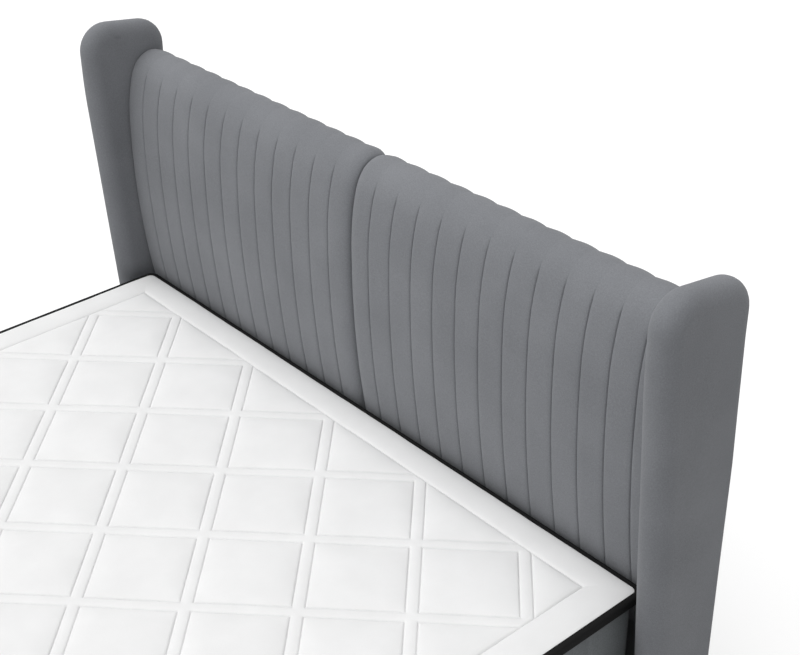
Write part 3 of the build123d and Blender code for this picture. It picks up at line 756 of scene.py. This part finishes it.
def joinedStaples(name, spots):
    # spots: (middle of the crown, direction along it, direction out of the cloth)
    places, faces = [], []
    half, wire, sides = stapleLook["crown"] / 2, stapleLook["wire"], stapleLook["sides"]
    # the wire's path along and out, and which way each ring faces along and out:
    # out of the cloth, round a small bend, along, and back in
    path = [
        (-half, -1.5 * wire, -1, 0), (-half, 0.2 * wire, -1, 1), (-half + 0.6 * wire, wire, 0, 1),
        (half - 0.6 * wire, wire, 0, 1), (half, 0.2 * wire, 1, 1), (half, -1.5 * wire, 1, 0),
    ]
    for middle, along, out in spots:
        middle, along, out = Vector(middle), Vector(along), Vector(out)
        across = along.cross(out)
        faces += tubeFaces(len(path), sides, start=len(places))
        for byAlong, byOut, faceAlong, faceOut in path:
            spot = middle + along * byAlong + out * byOut
            flat = (along * faceAlong + out * faceOut).normalized()
            for turn in range(sides):
                angle = turn * 2 * math.pi / sides
                places.append(spot + (flat * math.cos(angle) + across * math.sin(angle)) * wire)
    mesh = bpy.data.meshes.new(name)
    mesh.from_pydata([tuple(place) for place in places], [], faces)
    bm = bmesh.new()
    bm.from_mesh(mesh)
    bmesh.ops.recalc_face_normals(bm, faces=bm.faces)
    bm.to_mesh(mesh)
    bm.free()
    mesh.shade_smooth()
    return finishPiece(addObject(name, mesh), zincPlate, "bed_frame")


def backCloth():
    look = backLook
    low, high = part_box("headboard_back_cover")
    width, tall = high.x - low.x, high.z - low.z
    columns, rows = int(width / look["step"]) + 1, int(tall / look["step"]) + 1
    pitch = stapleLook["pitch"]
    sx, sz = look["sagScale"]
    places = []
    for i in range(rows):
        z = low.z + tall * i / (rows - 1)
        fromEnd = min(z - low.z, high.z - z)
        places.append((low.x - look["stand"], high.y - look["wrap"], z))
        for j in range(columns):
            x = low.x + width * j / (columns - 1)
            fromSide = min(x - low.x, high.x - x)
            inset = min(fromSide, fromEnd)
            slack = min(max((inset - look["heldTo"]) / look["slackOver"], 0), 1)
            slack *= min(1, abs(x) / look["slackOver"])     # the centre post holds it up
            uneven = look["sagUneven"] * noise.noise((x * sx, 0, z * sz))
            y = high.y - look["sag"] * slack * (look["sagEven"] + uneven)
            along = x if fromEnd < fromSide else z
            ridge = math.cos(2 * math.pi * along / pitch) * math.exp(-inset / look["pullReach"])
            y += look["pull"] * (ridge - 1) * 0.5 * min(1, inset / look["pullFrom"])
            y -= look["hemThickness"] * (inset > look["hem"])
            places.append((x, y, z))
        places.append((high.x + look["stand"], high.y - look["wrap"], z))
    faces = [face[::-1] for face in gridFaces(rows, columns + 2)]
    piece = newPiece("back_dust_cloth", places, faces)
    finishPiece(piece, dustCloth, "bed_frame", ["headboard_back_cover"])
    inset, y = stapleLook["inset"], high.y - stapleLook["sunk"]
    clear = 3 * inset       # no staple is nearer to a corner
    alongX = np.linspace(low.x + clear, high.x - clear, int((width - 2 * inset) / pitch))
    alongZ = np.linspace(low.z + clear, high.z - clear, int((tall - 2 * inset) / pitch))
    spots = [((x, y, z), (1, 0, 0), (0, 1, 0)) for z in (low.z + inset, high.z - inset) for x in alongX]
    spots += [((x, y, z), (0, 0, 1), (0, 1, 0)) for x in (low.x + inset, high.x - inset) for z in alongZ]
    joinedStaples("back_staples", spots)


def slatTapes():
    look = tapeLook
    low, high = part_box("slat_tapes")
    slatNames = sorted(name for name in frame["nodes"] if name[:5] == "slat_" and name[5:].isdigit())
    slats = [(slatLow.y, slatHigh.y) for slatLow, slatHigh in map(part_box, slatNames)]
    section = look["section"]
    rows = int((high.y - low.y) / look["step"]) + 1
    for side, sideName in sideNames.items():
        middle = side * (high.x - look["width"] / 2)
        places = []
        for i in range(rows):
            y = low.y + (high.y - low.y) * i / (rows - 1)
            sag = 0
            for (_, before), (after, _) in zip(slats, slats[1:]):
                if before < y < after:      # between two slats
                    share = (y - before) / (after - before)
                    sag = look["sag"] * 4 * share * (1 - share)
            for across, up in section:
                z = high.z - sag - look["thickness"] * (1 - up)
                places.append((middle + across * look["width"], y, z))
        faces = [face[::-1] for face in tubeFaces(rows, len(section))]
        piece = newPiece("slat_tape_" + sideName, places, faces)
        finishPiece(piece, tapeCloth, "bed_frame", ["slat_tapes"])
        spots = []
        for lowY, highY in slats:
            for shift in (-look["stapleShift"], look["stapleShift"]):
                place = (middle + shift, (lowY + highY) / 2, low.z + look["stapleSunk"])
                spots.append((place, (0, 1, 0), (0, 0, -1)))
        joinedStaples("tape_staples_" + sideName, spots)


backCloth()
slatTapes()
print("dust cloth, slat tapes and staples made")


# Mattress

quiltLook = {
    "cellsAcross": 5,
    "border": 63.0 * mm, "headBorder": 67.0 * mm,
    "band": 23.5 * mm,          # flat strip between two puffed squares
    "panelThickness": 4.0 * mm,
    "sideOverhang": 7.0 * mm,   # the quilted top is this much wider at each side than the core
    "rise": 5.0 * mm,           # middle of a square above the strips
    "roll": 0.6,                # share of half a square over which it rises
    "borderRoll": 0.7,          # of that, beside the border's seam
    "rollPower": 2.6,
    "seamDepth": 2.2 * mm, "seamWidth": 1.3 * mm,
    "stripRise": 0.8 * mm,
    "paintedSeamShadeStrength": 0.13,        # how far the painted shade greys the cloth along a seam
    "cornerRadius": 14.0 * mm,
    # rows of points: over half a square, beside its strip, and in from the border's seam
    "lineShares": [0, 0.16, 0.33, 0.5, 0.64, 0.76, 0.86, 0.93, 0.965, 0.983, 1.0],
    "stripRows": [1.6 * mm, 4.0 * mm],
    "seamRows": [0, 1.5 * mm, 4.0 * mm, 10.0 * mm],
    "spare": 25.0 * mm,         # of the lattice past the seams, before it is cut
    "weld": 0.2 * mm,           # points nearer than this become one
    # across the border strip: share of the way out from its seam, and height in mm
    "borderShares": [(0.03, 0.2), (0.08, 1.2), (0.18, 2.3), (0.32, 2.9), (0.48, 3.0), (0.62, 2.6),
                     (0.74, 1.8), (0.84, 0.7), (0.91, -0.4), (0.96, -1.4), (0.99, -2.3), (1.0, -3.0)],
    "tuckIn": 12.0 * mm, "tuckDown": 1.0 * mm,      # the panel's edge, hidden in the mattress
    "waves": [(5, 0.3, 1.2 * mm), (22, 4.7, 0.5 * mm)],     # unevenness: waves a metre, seed, height
}


def quiltHeight(x, y, half, fieldX, fieldY):
    # height above the flat top at places x, y, and how near a seam is; y is measured down
    # from the head seam
    look = quiltLook
    pitch = math.sqrt(2) * half
    a = np.abs((x + y) / math.sqrt(2) % pitch - pitch / 2)
    b = np.abs((x - y) / math.sqrt(2) % pitch - pitch / 2)
    cell = (pitch - look["band"]) / 2
    inside = np.minimum(fieldX - np.abs(x), np.minimum(y, fieldY - y))

    def rolled(distance, reach):
        return 1 - (1 - np.clip(distance / reach, 0, 1)) ** look["rollPower"]

    reach = cell * look["roll"]
    near = np.minimum(cell - a, cell - b)
    puff = look["rise"] * rolled(cell - a, reach) * rolled(cell - b, reach)
    puff = np.where(near > 0, puff, 0) * rolled(inside, reach * look["borderRoll"])
    halfBand = look["band"] / 2
    fromMiddle = np.clip(np.abs(near + halfBand) / halfBand, 0, 1)
    strip = np.where(near < 0, look["stripRise"] * (1 - fromMiddle ** 2), 0)
    seamGrooveAndShade = np.maximum(np.exp(-(near / look["seamWidth"]) ** 2), np.exp(-(inside / look["seamWidth"]) ** 2))
    return puff + strip - look["seamDepth"] * seamGrooveAndShade, seamGrooveAndShade


def roundedRectangle(halfX, y0, y1, radius, shares):
    # places on the outline, by shares counted from 0 to 4 along its four sides from the low X, low Y corner
    corners = [(-halfX, y0), (halfX, y0), (halfX, y1), (-halfX, y1)]
    lengths = [2 * halfX, y1 - y0, 2 * halfX, y1 - y0]
    ways = [(1, 0), (0, 1), (-1, 0), (0, -1)]
    places = []
    for share in shares:
        number = int(share) % 4
        length, way, inward = lengths[number], ways[number], ways[(number + 1) % 4]
        along = (share - int(share)) * length
        depth = 0
        near = min(along, length - along)
        if near < radius:       # round the corner, half the arc on each side of it
            angle = math.pi / 4 * (1 - near / radius)
            reach = radius - radius * math.sin(angle)
            along = reach if along < length / 2 else length - reach
            depth = radius * (1 - math.cos(angle))
        places.append(tuple(
            corners[number][i] + way[i] * along + inward[i] * depth for i in range(2)))
    return places


def latticeLines(pitch, reach):  # where the rows of points lie, closer where a square rolls down
    look = quiltLook
    cell = (pitch - look["band"]) / 2
    steps = [share * cell for share in look["lineShares"]]
    steps += [cell + step for step in look["stripRows"]] + [pitch / 2]
    offsets = [pitch / 2 + step for step in steps] + [pitch / 2 - step for step in steps[1:-1]]
    count = int(reach / pitch) + 2
    lines = {round(k * pitch + offset, 6) for k in range(-count, count + 1) for offset in offsets}
    return sorted(line for line in lines if -reach < line < reach)


def quiltedTop():
    look = quiltLook
    coreLow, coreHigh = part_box("mattress_core")
    halfX, headY, footY = coreHigh.x, coreHigh.y, coreLow.y
    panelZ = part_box("mattress_top_panel")[0].z
    topZ = panelZ + look["panelThickness"]
    fieldX = halfX - look["border"]
    half = fieldX / look["cellsAcross"]
    headSeam, footSeam = headY - look["headBorder"], footY + look["headBorder"]
    fieldY = headSeam - footSeam
    pitch = math.sqrt(2) * half
    lines = latticeLines(pitch, (fieldX + fieldY) / math.sqrt(2) + 2 * pitch)
    # a lattice of quads turned by 45 degrees, cut to the field by planes
    bm = bmesh.new()
    lattice = {}
    spare = look["spare"]
    for i, p in enumerate(lines):
        for j, q in enumerate(lines):
            x, y = (p + q) / math.sqrt(2), (p - q) / math.sqrt(2)
            if abs(x) < fieldX + spare and -spare < y < fieldY + spare:
                lattice[(i, j)] = bm.verts.new((x, headSeam - y, topZ))
    for i, j in lattice:
        corners = [lattice.get(spot) for spot in ((i, j), (i + 1, j), (i + 1, j + 1), (i, j + 1))]
        if None not in corners:
            bm.faces.new(corners)
    for place, outward in (((fieldX, 0, 0), (1, 0, 0)), ((-fieldX, 0, 0), (-1, 0, 0)),
                           ((0, headSeam, 0), (0, 1, 0)), ((0, footSeam, 0), (0, -1, 0))):
        for inset in look["seamRows"]:      # the first is the seam itself
            bmesh.ops.bisect_plane(
                bm, geom=bm.verts[:] + bm.edges[:] + bm.faces[:], dist=tiny, plane_no=outward,
                plane_co=Vector(place) - Vector(outward) * inset, clear_outer=inset == 0)
    bmesh.ops.remove_doubles(bm, verts=bm.verts, dist=look["weld"])
    bmesh.ops.recalc_face_normals(bm, faces=bm.faces)
    if bm.faces[0].normal.z < 0:
        bmesh.ops.reverse_faces(bm, faces=bm.faces)
    # the border strip and the roll over the edge, ring by ring round the field

    def shareOf(vertex):
        x, y = vertex.co.x, vertex.co.y
        if abs(y - footSeam) < 10 * tiny and x < fieldX - tiny:
            return (x + fieldX) / (2 * fieldX)
        if abs(x - fieldX) < 10 * tiny and y < headSeam - tiny:
            return 1 + (y - footSeam) / fieldY
        if abs(y - headSeam) < 10 * tiny and x > -fieldX + tiny:
            return 2 + (fieldX - x) / (2 * fieldX)
        return 3 + (headSeam - y) / fieldY

    rim = sorted((v for v in bm.verts if v.is_boundary), key=shareOf)
    seamPlaces = np.array([(v.co.x, v.co.y) for v in rim])
    outer = np.array(roundedRectangle(
        halfX + look["sideOverhang"], footY, headY, look["cornerRadius"], [shareOf(v) for v in rim]))
    rings = [(share, height * mm) for share, height in look["borderShares"]]
    rings.append((1 - look["tuckIn"] / look["border"], panelZ - topZ - look["tuckDown"]))
    for share, rise in rings:
        spots = seamPlaces + (outer - seamPlaces) * share
        ring = [bm.verts.new((x, y, topZ + rise)) for x, y in spots]
        for k in range(len(ring)):
            following = (k + 1) % len(ring)
            bm.faces.new((rim[k], ring[k], ring[following], rim[following]))
        rim = ring
    bm.faces.new(rim)
    bmesh.ops.recalc_face_normals(bm, faces=bm.faces)
    mesh = bpy.data.meshes.new("mattress_quilted_top")
    bm.to_mesh(mesh)
    bm.free()
    places = np.empty(len(mesh.vertices) * 3)
    mesh.vertices.foreach_get("co", places)
    places = places.reshape(-1, 3)
    x, y, z = places[:, 0], headSeam - places[:, 1], places[:, 2]
    field = (np.abs(x) <= fieldX + tiny) & (y >= -tiny) & (y <= fieldY + tiny) & (z > topZ - tiny)
    lift, seamGrooveAndShade = quiltHeight(x, y, half, fieldX, fieldY)
    places[:, 2] += np.where(field, lift, 0)
    # painted shade along the seams, kept on the points for the ticking's material
    paintedSeamShade = mesh.attributes.new("seamGrooveAndShade", "FLOAT", "POINT")
    paintedSeamShade.data.foreach_set("value", np.where(field, seamGrooveAndShade * look["paintedSeamShadeStrength"], 0).astype(np.float32))
    for place in places:
        if place[2] > topZ - look["panelThickness"]:
            for waves, seed, height in look["waves"]:
                place[2] += noise.noise((place[0] * waves, place[1] * waves, seed)) * height
    mesh.vertices.foreach_set("co", places.ravel())
    mesh.update()
    mesh.shade_smooth()
    mesh.set_sharp_from_angle(angle=math.radians(70))
    piece = addObject("mattress_quilted_top", mesh)
    finishPiece(piece, whiteKnit, "mattress", ["mattress_top_panel"])


sideLook = {
    "bandBulge": 10.0 * mm, "bandRise": 3.4 * mm,
    "tapeLift": 8.0 * mm,       # the tape starts this far above the foot of its border band
    # outline of the tape from its lower edge up: share of the bulge, share of its height
    "bandShares": [(-0.1, 0.0), (0.3, 0.02), (0.62, 0.07), (0.82, 0.16), (0.93, 0.3), (0.97, 0.5),
                   (1.0, 0.7), (1.0, 0.84), (0.92, 0.92), (0.76, 0.965), (0.45, 0.99), (-0.1, 1.0)],
    "tapeTuck": 14.0 * mm, "tapeHem": 1.0 * mm,     # its lower edge, in and down behind the cloth
    # its upper edge, behind the quilted top: how far in, and how far below the border band's top
    "tapeTop": [(3.0 * mm, 3.0 * mm), (14.0 * mm, 4.0 * mm)],
    "clothInset": 3.0 * mm,     # the side cloth lies this far inside the core's side
    # its rows start above the bottom's round and end below the tape, then in and up behind that
    "clothRows": 12, "clothFrom": 6.0 * mm, "clothTo": 3.0 * mm,
    "clothTuck": 16.0 * mm, "clothOver": 2.0 * mm,
    "panelPitch": 127.0 * mm, "panelSwell": 2.5 * mm,
    "panelsFrom": -4.0 * mm,    # parts of the outline further in have no panels
    "seamDepth": 2.0 * mm, "seamWidth": 2.5 * mm, "step": 7.0 * mm,
    "bottomRound": 18.0 * mm, "bottomTuck": 40.0 * mm,
}


def loopAround(halfX, y0, y1, radius, step):  # evenly spaced places round a rounded rectangle
    shares = []
    for number, length in enumerate((2 * halfX, y1 - y0, 2 * halfX, y1 - y0)):
        corner = [radius / length * t for t in (0, 0.2, 0.4, 0.6, 0.8)]
        body = list(np.linspace(radius / length, 1 - radius / length, int(length / step)))
        tail = [1 - share for share in reversed(corner[1:])]
        shares += [number + share for share in corner + body + tail]
    return np.array(roundedRectangle(halfX, y0, y1, radius, shares))


def sweptWall(name, profile, plan, fluting=None):
    # profile: (how far outside the plan, height), from the bottom up; the ends close over the inside
    loop = loopAround(*plan)
    slope = np.roll(loop, -1, 0) - np.roll(loop, 1, 0)
    slope /= np.linalg.norm(slope, axis=1)[:, None]
    outward = np.stack([slope[:, 1], -slope[:, 0]], 1)
    travelled = travelledAlong(loop)
    places = []
    for out, z in profile:
        for spot, way, along in zip(loop, outward, travelled):
            extra = fluting(along) if fluting and out > sideLook["panelsFrom"] else 0
            x, y = spot + way * (out + extra)
            places.append((x, y, z))
    return newPiece(name, places, tubeFaces(len(profile), len(loop)))


def mattressSides():
    look = sideLook
    coreLow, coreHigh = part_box("mattress_core")
    bandLow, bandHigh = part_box("mattress_band")
    sizes = (coreLow.y, coreHigh.y, quiltLook["cornerRadius"], look["step"])
    tapeFoot = bandLow.z + look["tapeLift"]
    tapeHeight = bandHigh.z + look["bandRise"] - tapeFoot
    inset = look["clothInset"]
    profile = [(-look["tapeTuck"], tapeFoot - look["tapeHem"])]
    profile += [(out * look["bandBulge"], tapeFoot + up * tapeHeight) for out, up in look["bandShares"]]
    profile += [(-inward, bandHigh.z - down) for inward, down in look["tapeTop"]]
    band = sweptWall("mattress_border_tape", profile, (coreHigh.x + quiltLook["sideOverhang"], *sizes))
    finishPiece(band, blackBorder, "mattress", ["mattress_band"])

    def panels(along):
        place = along / look["panelPitch"] % 1
        distance = min(place, 1 - place) * look["panelPitch"]
        swell = look["panelSwell"] * (1 - abs(2 * place - 1) ** 4)
        return swell - look["seamDepth"] * seamShare(distance, look["seamWidth"])

    bottom, r = coreLow.z, look["bottomRound"]
    profile = [(-look["bottomTuck"], bottom), (-r, bottom)]
    for turn in range(15, 91, 15):
        angle = math.radians(turn)
        profile.append((-r + r * math.sin(angle) - inset, bottom + r * (1 - math.cos(angle))))
    lowRow, highRow = bottom + r + look["clothFrom"], tapeFoot - look["clothTo"]
    for z in np.linspace(lowRow, highRow, look["clothRows"]):
        profile.append((-inset, z))
    profile.append((-look["clothTuck"], tapeFoot + look["clothOver"]))
    cloth = sweptWall("mattress_side_cloth", profile, (coreHigh.x, *sizes), fluting=panels)
    finishPiece(cloth, greyKnit, "mattress", ["mattress_core"])


quiltedTop()
mattressSides()
print("mattress made")


# Camera, floor and light

viewLook = {
    "place": (1989.1, -672.1, 2306.4),      # mm
    "yaw": 51.492, "pitch": 28.110, "roll": -1.807,     # degrees
    "focal": 1473.4, "widePixels": 800,     # focal length in pixels of a picture that wide
    "shiftX": 0.10, "shiftY": -0.10,
    "sensor": 36,                           # mm
}


def setCamera():
    look = viewLook
    camera = addObject("camera", bpy.data.cameras.new("camera"))
    yaw, pitch, roll = (math.radians(look[key]) for key in ("yaw", "pitch", "roll"))
    turned = Matrix.Rotation(yaw, 4, "Z") @ Matrix.Rotation(math.pi / 2 - pitch, 4, "X")
    turned = turned @ Matrix.Rotation(roll, 4, "Z")
    camera.matrix_world = Matrix.Translation(Vector(look["place"]) * mm) @ turned
    camera.data.sensor_width = look["sensor"]
    camera.data.lens = look["focal"] / look["widePixels"] * look["sensor"]
    camera.data.shift_x, camera.data.shift_y = look["shiftX"], look["shiftY"]
    camera.data.clip_end = 200
    bpy.context.scene.camera = camera


lightLook = {
    "sky": 0.45,
    "sunStrength": 2.48, "sunSoftness": 85.0,       # degrees across
    "sunFrom": (-0.19, -0.37, 0.91),
    "floorColour": "#c8c8c8", "floorGlow": 0.46,    # the glow is for the camera alone
    "floorHalf": 30.0,          # metres
}


def setLight():
    look = lightLook
    world = bpy.data.worlds.new("studio")
    bpy.context.scene.world = world
    world.use_nodes = True
    tree = world.node_tree
    rays = addNode(tree, "ShaderNodeLightPath").outputs
    shown = rays["Is Camera Ray"]       # and mirrors and glass show the same white
    for kind in ("Is Glossy Ray", "Is Transmission Ray"):
        shown = addNode(tree, "ShaderNodeMath", {0: shown, 1: rays[kind]}, operation="MAXIMUM").outputs[0]
    strength = addNode(tree, "ShaderNodeMapRange", {"Value": shown, "To Min": look["sky"], "To Max": 1.0})
    background = tree.nodes["Background"]
    background.inputs["Color"].default_value = (1, 1, 1, 1)
    tree.links.new(strength.outputs["Result"], background.inputs["Strength"])
    sun = addObject("softbox", bpy.data.lights.new("softbox", "SUN"))
    sun.data.energy = look["sunStrength"]
    sun.data.angle = math.radians(look["sunSoftness"])
    sun.rotation_euler = Vector(look["sunFrom"]).to_track_quat("Z", "Y").to_euler()


def setFloor():
    wide = lightLook["floorHalf"]
    places = [(-wide, -wide, 0), (wide, -wide, 0), (wide, wide, 0), (-wide, wide, 0)]
    floor = newPiece("studio_floor", places, [(0, 1, 2, 3)])
    material, tree, shader = newMaterial(
        "matt white studio floor", Roughness=0.9, Specular_IOR_Level=0.1,
        Base_Color=hexColour(lightLook["floorColour"]), Emission_Color=(1, 1, 1, 1))
    rays = addNode(tree, "ShaderNodeLightPath")
    glow = addNode(tree, "ShaderNodeMath", {
        0: rays.outputs["Is Camera Ray"], 1: lightLook["floorGlow"]}, operation="MULTIPLY")
    tree.links.new(glow.outputs[0], shader.inputs["Emission Strength"])
    floor.data.materials.append(material)


setCamera()
setLight()
setFloor()
print("camera, light and floor set")
